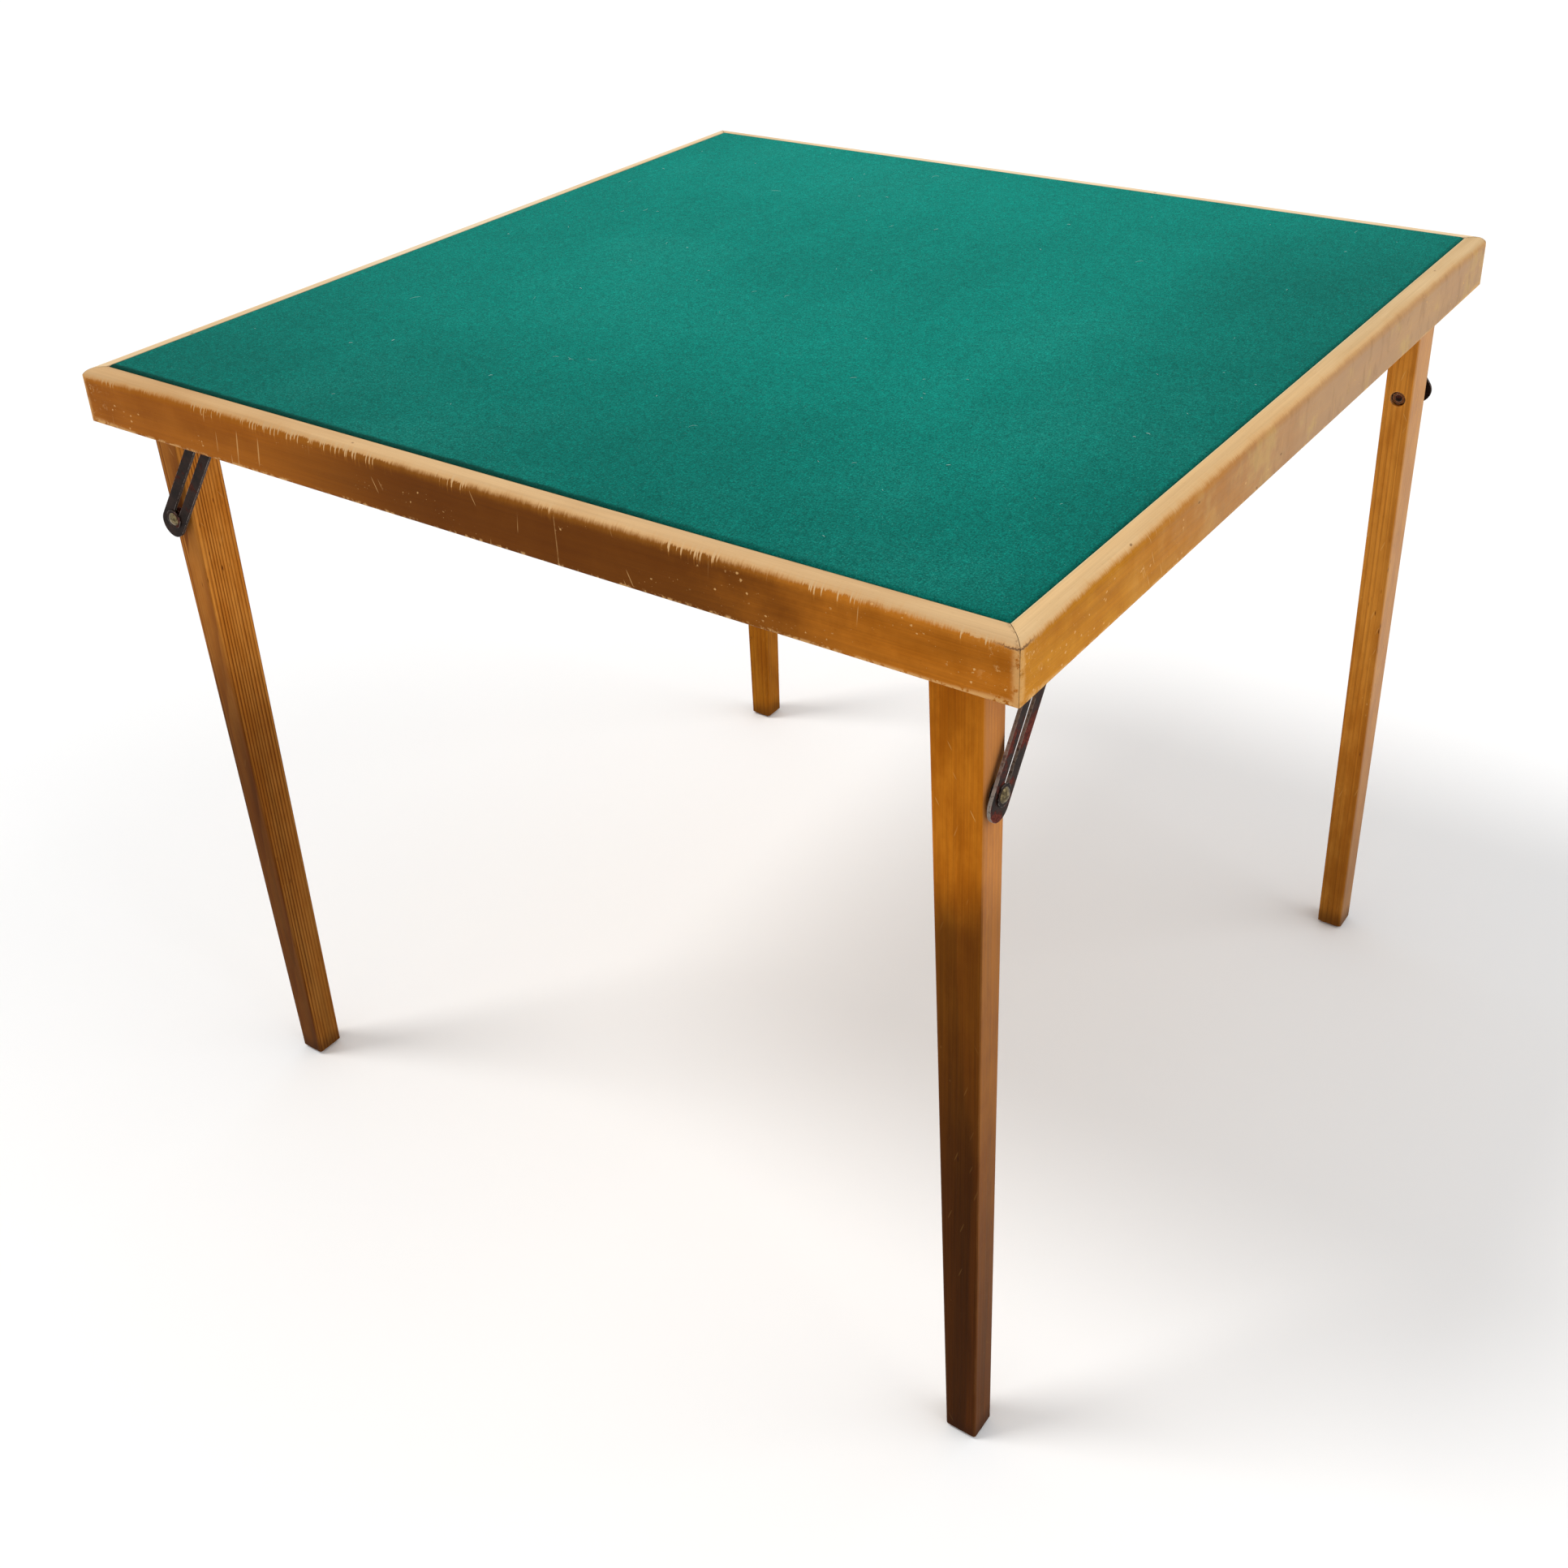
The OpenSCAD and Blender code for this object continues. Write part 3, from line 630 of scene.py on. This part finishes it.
def blackened_steel(name, seed, rust, tones=RED_RUST, thin=None, sides=0.0, rust_below=None):
    """Old blackened steel: rubbed bright on its edges, rust in patches. A flat bar is paler along
    its narrow sides as well, rubbed bright and with painted highlight; thin is the axis its
    thickness lies along."""
    p = Paint(name)
    at = p.scaled(p.place, (1, 1, 1), (seed, seed, seed))
    cloud = p.noise(at, 90, 4, 0.65)
    grit = p.noise(at, 900, 3, 0.6)
    base = p.blend(p.step(cloud, 0.35, 0.65), STEEL_DARK, STEEL_LIGHT)
    base = p.shade(base, p.step(grit, 0.25, 0.75, 0.80, 1.15))
    patch = p.step(p.noise(at, 55, 4, 0.7), 0.56 - 0.12 * rust, 0.66 - 0.10 * rust)
    if rust_below is not None:
        height = p.add(p.split(p.place)[2], p.mul(p.sub(cloud, 0.5), 0.03))
        patch = p.mul(patch, p.step(height, rust_below + 0.008, rust_below - 0.008, 0.12, 1.0))
    rusty = p.blend(p.step(grit, 0.35, 0.65), *tones)
    base = p.blend(p.mul(patch, 0.25 + 0.6 * rust), base, rusty)
    rubbed = p.mul(p.edge(0.0007), p.step(p.noise(at, 260, 3, 0.6), 0.38, 0.56))
    base = p.blend(p.mul(rubbed, 0.75), base, STEEL_RUBBED)
    if thin is not None:
        narrow = p.step(p.size(p.split(p.facing)["xyz".index(thin)]), 0.6, 0.3)
        narrow = p.mul(narrow, p.step(p.noise(at, 420, 3, 0.6), 0.34, 0.52, 0.35, 1.0))
        # narrow sides paler: rubbed bright, with painted highlight
        base = p.blend(p.mul(narrow, sides), base, STEEL_NARROW_WEAR_AND_HIGHLIGHT)
    rough = p.sub(p.add(0.50, p.mul(patch, 0.30)), p.mul(rubbed, 0.14))
    p.put(p.shader.inputs["Metallic"], p.sub(0.35, p.mul(patch, 0.30)))
    return p.finish(base, rough, p.bump(p.add(grit, cloud), 0.00012, 0.5),
                    Specular_IOR_Level=0.10, IOR=1.3)


def plated_steel():
    """Dull zinc-plated screws, bolts and washers."""
    p = Paint("plated_steel")
    cloud = p.noise(p.place, 240, 4, 0.6)
    fine = p.noise(p.place, 2400, 2, 0.6)
    base = p.blend(p.step(cloud, 0.35, 0.68), ZINC, ZINC_DULL)
    stain = p.step(p.noise(p.place, 120, 3), 0.56, 0.68)
    base = p.blend(p.mul(stain, 0.5), base, ZINC_STAIN)
    p.put(p.shader.inputs["Metallic"], p.sub(0.9, p.mul(stain, 0.5)))
    return p.finish(base, p.add(0.34, p.mul(cloud, 0.24)), p.bump(fine, 0.00005, 0.5))


def old_brass():
    """Dulled brass of the rivets, clouded dark and bright."""
    p = Paint("old_brass")
    cloud = p.noise(p.place, 420, 4, 0.65)
    fine = p.noise(p.place, 2600, 2, 0.6)
    base = p.blend(p.step(cloud, 0.40, 0.62), BRASS_DARK, BRASS_BRIGHT)
    base = p.shade(base, p.step(fine, 0.3, 0.7, 0.82, 1.1))
    p.put(p.shader.inputs["Metallic"], p.step(cloud, 0.3, 0.7, 0.75, 0.95))
    return p.finish(base, p.step(cloud, 0.3, 0.7, 0.52, 0.36), p.bump(fine, 0.00006, 0.6))


# ---- Cloth materials -------------------------------------------------------------------------

FRONT_MARGIN, RIM_MARGIN = 0.0060, 0.0032          # widths of the margin of dust and painted shade
DARKER_REACH = 0.34                # how far in from the front the cloth is darker
WOOL_DEEP, WOOL_BRIGHT, WOOL_GREYED = rgb(0, 103, 92), rgb(6, 135, 120), rgb(92, 146, 136)
# the margin beside the rim is darkened with dust and painted shade
WOOL_LINT, WOOL_DUST_AND_SHADE, WOOL_SHEEN = rgb(120, 196, 182), rgb(3, 42, 32), rgb(170, 210, 200)
THREAD_DULL, THREAD_WHITE = rgb(112, 172, 162), rgb(186, 214, 208)


def felt():
    """Teal green baize: felted wool with a short mottled nap, lint and a little wear."""
    p = Paint("baize_felt")
    x, y, _ = p.split(p.place)
    nap = p.noise(p.place, 1500, 3, 0.7)
    tuft = p.noise(p.place, 780, 3, 0.7, 0.5)
    hair = p.noise(p.scaled(p.place, (1100, 240, 300)), 1, 2, 0.6, 0.8)
    weft = p.noise(p.scaled(p.place, (260, 1000, 300)), 1, 2, 0.6, 0.8)
    drift = p.noise(p.place, 130, 3, 0.6)
    brush = p.noise(p.scaled(p.place, (16, 5, 1)), 1, 3, 0.6)
    broad = p.noise(p.place, 3.2, 3, 0.55)
    base = p.blend(p.step(tuft, 0.34, 0.66), WOOL_DEEP, WOOL_BRIGHT)
    for pattern, low, high, depth in ((nap, 0.28, 0.72, 0.34), (hair, 0.3, 0.7, 0.16),
                                      (weft, 0.3, 0.7, 0.16), (drift, 0.3, 0.7, 0.07),
                                      (brush, 0.3, 0.7, 0.04), (broad, 0.35, 0.65, 0.05)):
        base = p.shade(base, p.step(pattern, low, high, 1.0 - depth, 1.0 + depth))
    # darker cloth along the front and right
    to_front, to_right = p.add(y, BAIZE_HALF), p.sub(BAIZE_HALF, x)
    wander = p.mul(p.sub(broad, 0.5), 0.25)
    near = p.step(p.add(p.least(to_front, p.add(to_right, 0.05)), wander),
                  DARKER_REACH, -0.02)
    base = p.shade(base, p.sub(1.0, p.mul(near, 0.32)))
    # painted sheen: lighter towards the far side
    base = p.shade(base, p.step(y, 0.0, 0.36, 1.0, 1.10))
    # nap rubbed a little greyer here and there
    greyed = p.mul(p.step(broad, 0.50, 0.70), p.step(tuft, 0.45, 0.65))
    base = p.blend(p.mul(greyed, 0.10), base, WOOL_GREYED)
    # lint: pale flecks, most no bigger than a thread's end
    flecks = p.mul(p.step(p.cells(p.scaled(p.place, (430, 430, 20))), 0.16, 0.06),
                   p.step(p.noise(p.place, 75, 1), 0.48, 0.60))
    base = p.blend(p.mul(flecks, 0.40), base, WOOL_LINT)
    # dust and painted shade in a flattened margin beside the rim, widest along the front
    rim = p.most(p.size(x), p.size(y))
    ragged = p.mul(p.sub(p.noise(p.place, 70, 3), 0.5), 0.003)
    front = p.mul(p.step(p.add(to_front, ragged), FRONT_MARGIN, 0.0022),
                  p.step(x, 0.36, 0.0, 0.25, 1.0))
    margin = p.step(p.add(rim, ragged), BAIZE_HALF - RIM_MARGIN, BAIZE_HALF - 0.0012)
    base = p.blend(p.most(p.mul(margin, 0.30), p.mul(front, 0.80)), base, WOOL_DUST_AND_SHADE)
    height = p.add(p.mul(tuft, 0.7), p.add(p.mul(nap, 0.4), p.mul(hair, 0.3)))
    p.shader.inputs["Sheen Tint"].default_value = WOOL_SHEEN
    return p.finish(base, 0.95, p.bump(height, 0.0006, 0.75), Specular_IOR_Level=0.05,
                    Sheen_Weight=0.05, Sheen_Roughness=0.4)


def loose_thread():
    p = Paint("lint")
    return p.finish(p.blend(p.noise(p.place, 1500, 2), THREAD_DULL, THREAD_WHITE), 0.9)


# ---- Painting the CAD nodes ------------------------------------------------------------------

def paint(node, mat):
    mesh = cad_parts[node].data
    if not mesh.materials:
        mesh.materials.append(mat)
    for i in range(len(mesh.materials)):
        mesh.materials[i] = mat


def paint_cad():
    for side in SIDES:
        paint("rail_" + side, RailPaint(side).wood())
    for k, corner in enumerate(CORNERS):
        paint("leg_" + corner, LegPaint("leg_wood_" + corner, k + 1, LEGS[k]).wood())
        paint("stay_" + corner, blackened_steel("stay_steel_" + corner, 3.7 * k, **STAYS[k]))
    along_x = bare_wood("block_pine", "X", 3, BLOCK_PINE)
    along_y = bare_wood("block_pine_across", "Y", 4, BLOCK_PINE)
    for k, corner in enumerate(CORNERS):
        paint("hinge_block_" + corner, along_y if k % 2 == 0 else along_x)
    batten = bare_wood("batten_pine", "X", 5, BATTEN_PINE)
    paint("batten_front", batten)
    paint("batten_back", batten)
    paint("mitre_splines", bare_wood("spline_beech", "X", 6, SPLINE_BEECH, 0.0022, 0.2))
    paint("top_panel", plywood())
    zinc, brass = plated_steel(), old_brass()
    for node in ("batten_screws", "block_screws", "pivot_bolts", "pivot_washers",
                 "pivot_spacers"):
        paint(node, zinc)
    dark = blackened_steel("fastener_steel", 9.1, 0.35)
    brown = blackened_steel("rusted_nut", 5.3, 2.0, BROWN_RUST)
    for node in ("stay_screws", "stay_spacers"):
        paint(node, dark)
    for corner in CORNERS:
        paint("leg_bolt_" + corner, dark)
        paint("leg_nut_" + corner, brown)
        paint("rivet_washer_" + corner, dark)
        paint("rivet_" + corner, brass)


# ---- The baize and its lint ------------------------------------------------------------------

CELL = 3.8 * MM         # spacing of the cloth's grid
GAP = 0.25 * MM         # from the cloth's edge to the edge of the solid it replaces
SINK = 0.10 * MM        # from the cloth's flat top down from the top of that solid
ROLL = 2.4 * MM         # radius of the cloth's turned-down edge
SKIRT = 3.0 * MM        # how far the edge goes down into the gap beside the rim
CLOTH_T = 0.7 * MM
ROLL_ANGLES = (90, 75, 60, 45, 30, 15, 0)
WAVES = (               # height of the cloth's waves, how many to the metre, and a seed
    (0.25 * MM, 5, 1.7),
    (0.10 * MM, 70, 4.1),
    (0.05 * MM, 210, 9.3),
)
WAVES_DOWN = 0.05 * MM              # how far the waves as a whole lie below the flat top
WAVES_FADE = 6 * MM                 # distance in from the roll where they are full
WANDER, WANDER_IN = 0.35 * MM, 8 * MM       # how far the edge wanders, and how far in that shows


def new_piece(name, bm, mat, smooth=True):
    mesh = bpy.data.meshes.new(name)
    bm.normal_update()
    bm.to_mesh(mesh)
    bm.free()
    mesh.materials.append(mat)
    mesh.polygons.foreach_set("use_smooth", [smooth] * len(mesh.polygons))
    piece = bpy.data.objects.new(name, mesh)
    bpy.context.scene.collection.objects.link(piece)
    return piece


def clamp(value, low, high):
    return min(max(value, low), high)


def cloth_lines(half):
    """Grid lines across the cloth: close together over the rolled edge, even between."""
    edge = [half - ROLL * (1 - math.sin(math.radians(a))) for a in ROLL_ANGLES]
    n = int(2 * edge[-1] / CELL)
    inner = [-edge[-1] + 2 * edge[-1] * i / n for i in range(1, n)]
    return [-v for v in edge] + inner + edge[::-1]


def cloth_drop(away):
    """How far the rolled edge has dropped at a distance in from the cloth's limit."""
    away = clamp(away, 0.0, ROLL)
    return ROLL - math.sqrt(max(ROLL ** 2 - (ROLL - away) ** 2, 0.0))


def cloth_point(x, y, half):
    """Where the cloth's grid point at x and y lies."""
    waves = sum(height * noise3.noise(Vector((x * scale, y * scale, seed)))
                for height, scale, seed in WAVES)
    inside = min(half - abs(x), half - abs(y))
    fade = clamp((inside - ROLL) / WAVES_FADE, 0.0, 1.0)
    drop = min(math.hypot(cloth_drop(half - abs(x)), cloth_drop(half - abs(y))), ROLL)
    z = BAIZE_TOP - SINK + (waves - WAVES_DOWN) * fade - drop
    # the edge wanders a little where the cloth was pushed down by hand
    wander = WANDER * (1 - min(inside / WANDER_IN, 1.0))
    if abs(x) > abs(y):
        pulled = abs(wander * noise3.noise(Vector((y * 40, 2.0, x * 3))))
        return x - math.copysign(pulled, x), y, z
    pulled = abs(wander * noise3.noise(Vector((x * 40, 7.0, y * 3))))
    return x, y - math.copysign(pulled, y), z


def baize():
    half = BAIZE_HALF - GAP
    lines = cloth_lines(half)
    bm = bmesh.new()
    rows = [[bm.verts.new(cloth_point(x, y, half)) for x in lines] for y in lines]
    last = len(lines) - 1
    for j in range(last):
        for i in range(last):
            bm.faces.new((rows[j][i], rows[j][i + 1], rows[j + 1][i + 1], rows[j + 1][i]))
    ring = (rows[0][:] + [r[last] for r in rows[1:]] + rows[last][last - 1::-1]
            + [rows[j][0] for j in range(last - 1, 0, -1)])
    low = BAIZE_TOP - ROLL - SKIRT
    feet = [bm.verts.new((v.co.x * 0.9998, v.co.y * 0.9998, low)) for v in ring]
    for i in range(len(ring)):
        j = (i + 1) % len(ring)
        bm.faces.new((ring[i], feet[i], feet[j], ring[j]))
    cloth = new_piece("baize_cloth", bm, felt())
    solid = cloth.modifiers.new("thickness", "SOLIDIFY")
    solid.thickness = CLOTH_T
    solid.offset = -1
    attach(cloth, "top")
    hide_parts("baize")
    return cloth


LINT_SEED, LINT_COUNT, LINT_MARGIN = 41, 75, 12 * MM
LONG_SHARE = 0.22                       # share of the threads that are long and thin
LONG_LENGTHS, LONG_RADII = (4.5 * MM, 10.0 * MM), (0.07 * MM, 0.13 * MM)
SHORT_LENGTHS, SHORT_RADII = (1.2 * MM, 3.4 * MM), (0.12 * MM, 0.26 * MM)
FIBRE_POINTS, FIBRE_LIFT = 7, 0.25 * MM
FIBRE_BEND, FIBRE_KINK = 260, 0.35      # radians to the metre, and radians at each point


def fibre(bm, start, heading, length, radius, draw):
    """One curled thread lying on the cloth, as a thin three-sided tube."""
    rings, stretch = [], length / (FIBRE_POINTS - 1)
    at, bend = Vector(start), draw.uniform(-1.0, 1.0) * FIBRE_BEND
    for i in range(FIBRE_POINTS):
        ahead = Vector((math.cos(heading), math.sin(heading), 0))
        side = Vector((-ahead.y, ahead.x, 0))
        done = i / (FIBRE_POINTS - 1)
        here = at + Vector((0, 0, FIBRE_LIFT * math.sin(math.pi * done)))
        thin = radius * (0.45 + 0.55 * math.sin(math.pi * (0.15 + 0.7 * done)))
        rings.append([bm.verts.new(here + side * thin * math.cos(a)
                                   + Vector((0, 0, thin * math.sin(a))))
                      for a in (math.radians(-30), math.radians(90), math.radians(210))])
        at += ahead * stretch
        heading += bend * stretch + draw.uniform(-FIBRE_KINK, FIBRE_KINK)
    for a, b in zip(rings, rings[1:]):
        for k in range(3):
            m = (k + 1) % 3
            bm.faces.new((a[k], a[m], b[m], b[k]))
    bm.faces.new(rings[0][::-1])
    bm.faces.new(rings[-1])


def lint():
    draw = random.Random(LINT_SEED)
    bm = bmesh.new()
    reach = BAIZE_HALF - LINT_MARGIN
    for _ in range(LINT_COUNT):
        place = (draw.uniform(-reach, reach), draw.uniform(-reach, reach), BAIZE_TOP + 0.10 * MM)
        long_one = draw.random() < LONG_SHARE
        lengths, radii = (LONG_LENGTHS, LONG_RADII) if long_one else (SHORT_LENGTHS, SHORT_RADII)
        fibre(bm, place, draw.uniform(0, math.tau), draw.uniform(*lengths),
              draw.uniform(*radii), draw)
    piece = new_piece("baize_lint", bm, loose_thread())
    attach(piece, "top")
    return piece


# ---- Studio ----------------------------------------------------------------------------------

CAMERA_AT = (0.9969, -1.4302, 0.5987)   # from the middle of the top, in widths of the top
CAMERA_TURN = (-36.0356, 29.3287, -2.4109)      # degrees clockwise of +Y, down, and rolled
CAMERA_LENS, CAMERA_SENSOR = 42.13, 36
CAMERA_SHIFT = (-0.0098, -0.0946)
WORLD_COLOUR, WORLD_STRENGTH = (0.97, 0.985, 1.0, 1), 0.74
SUNS = (                # name, place, target, strength, colour and angular size
    ("key", (-1.6, -1.2, 3.2), (0, 0, 0), 1.20, (1.0, 0.985, 0.96), 0.32),
    ("fill", (2.4, 0.6, 2.0), (0, 0, 0.4), 0.80, (0.98, 0.99, 1.0), 0.9),
)
FLOOR_REACH = 80
FLOOR_GREY, FLOOR_PALE = (0.90, 0.90, 0.90, 1), (0.93, 0.93, 0.93, 1)


def camera():
    """Stands off the front right corner, above the top, looking back across it."""
    data = bpy.data.cameras.new("camera")
    data.sensor_width, data.lens = CAMERA_SENSOR, CAMERA_LENS
    data.shift_x, data.shift_y = CAMERA_SHIFT
    data.clip_start = 0.05
    cam = bpy.data.objects.new("camera", data)
    bpy.context.scene.collection.objects.link(cam)
    az, el, roll = (math.radians(v) for v in CAMERA_TURN)
    ahead = Vector((math.cos(el) * math.sin(az), math.cos(el) * math.cos(az), -math.sin(el)))
    side = Vector((math.cos(az), -math.sin(az), 0))
    up = side.cross(ahead)
    right = math.cos(roll) * side + math.sin(roll) * up
    top = -math.sin(roll) * side + math.cos(roll) * up
    turn = Matrix((right, top, -ahead)).transposed().to_4x4()
    place = [2 * HALF * v for v in CAMERA_AT]
    place[2] += TOP
    cam.matrix_world = Matrix.Translation(place) @ turn
    bpy.context.scene.camera = cam


def sun(name, place, target, strength, colour, angle):
    data = bpy.data.lights.new(name, "SUN")
    data.energy, data.color, data.angle = strength, colour, angle
    lit = bpy.data.objects.new(name, data)
    bpy.context.scene.collection.objects.link(lit)
    lit.location = place
    lit.rotation_euler = (Vector(target) - Vector(place)).to_track_quat("-Z", "Y").to_euler()


def studio():
    scene = bpy.context.scene
    world = bpy.data.worlds.new("studio")
    world.use_nodes = True
    back = world.node_tree.nodes["Background"]
    back.inputs[0].default_value = WORLD_COLOUR
    back.inputs[1].default_value = WORLD_STRENGTH
    scene.world = world
    for row in SUNS:
        sun(*row)
    bm = bmesh.new()
    for x, y in ((-1, -1), (1, -1), (1, 1), (-1, 1)):
        bm.verts.new((x * FLOOR_REACH, y * FLOOR_REACH, 0))
    bm.faces.new(bm.verts)
    p = Paint("floor")
    mat = p.finish(p.blend(p.noise(p.place, 2.0, 2), FLOOR_GREY, FLOOR_PALE), 0.9,
                   Specular_IOR_Level=0.1)
    new_piece("floor", bm, mat, smooth=False)
    scene.view_settings.view_transform = "Standard"
    scene.view_settings.look = "None"


camera()
paint_cad()
cloth, threads = baize(), lint()
studio()
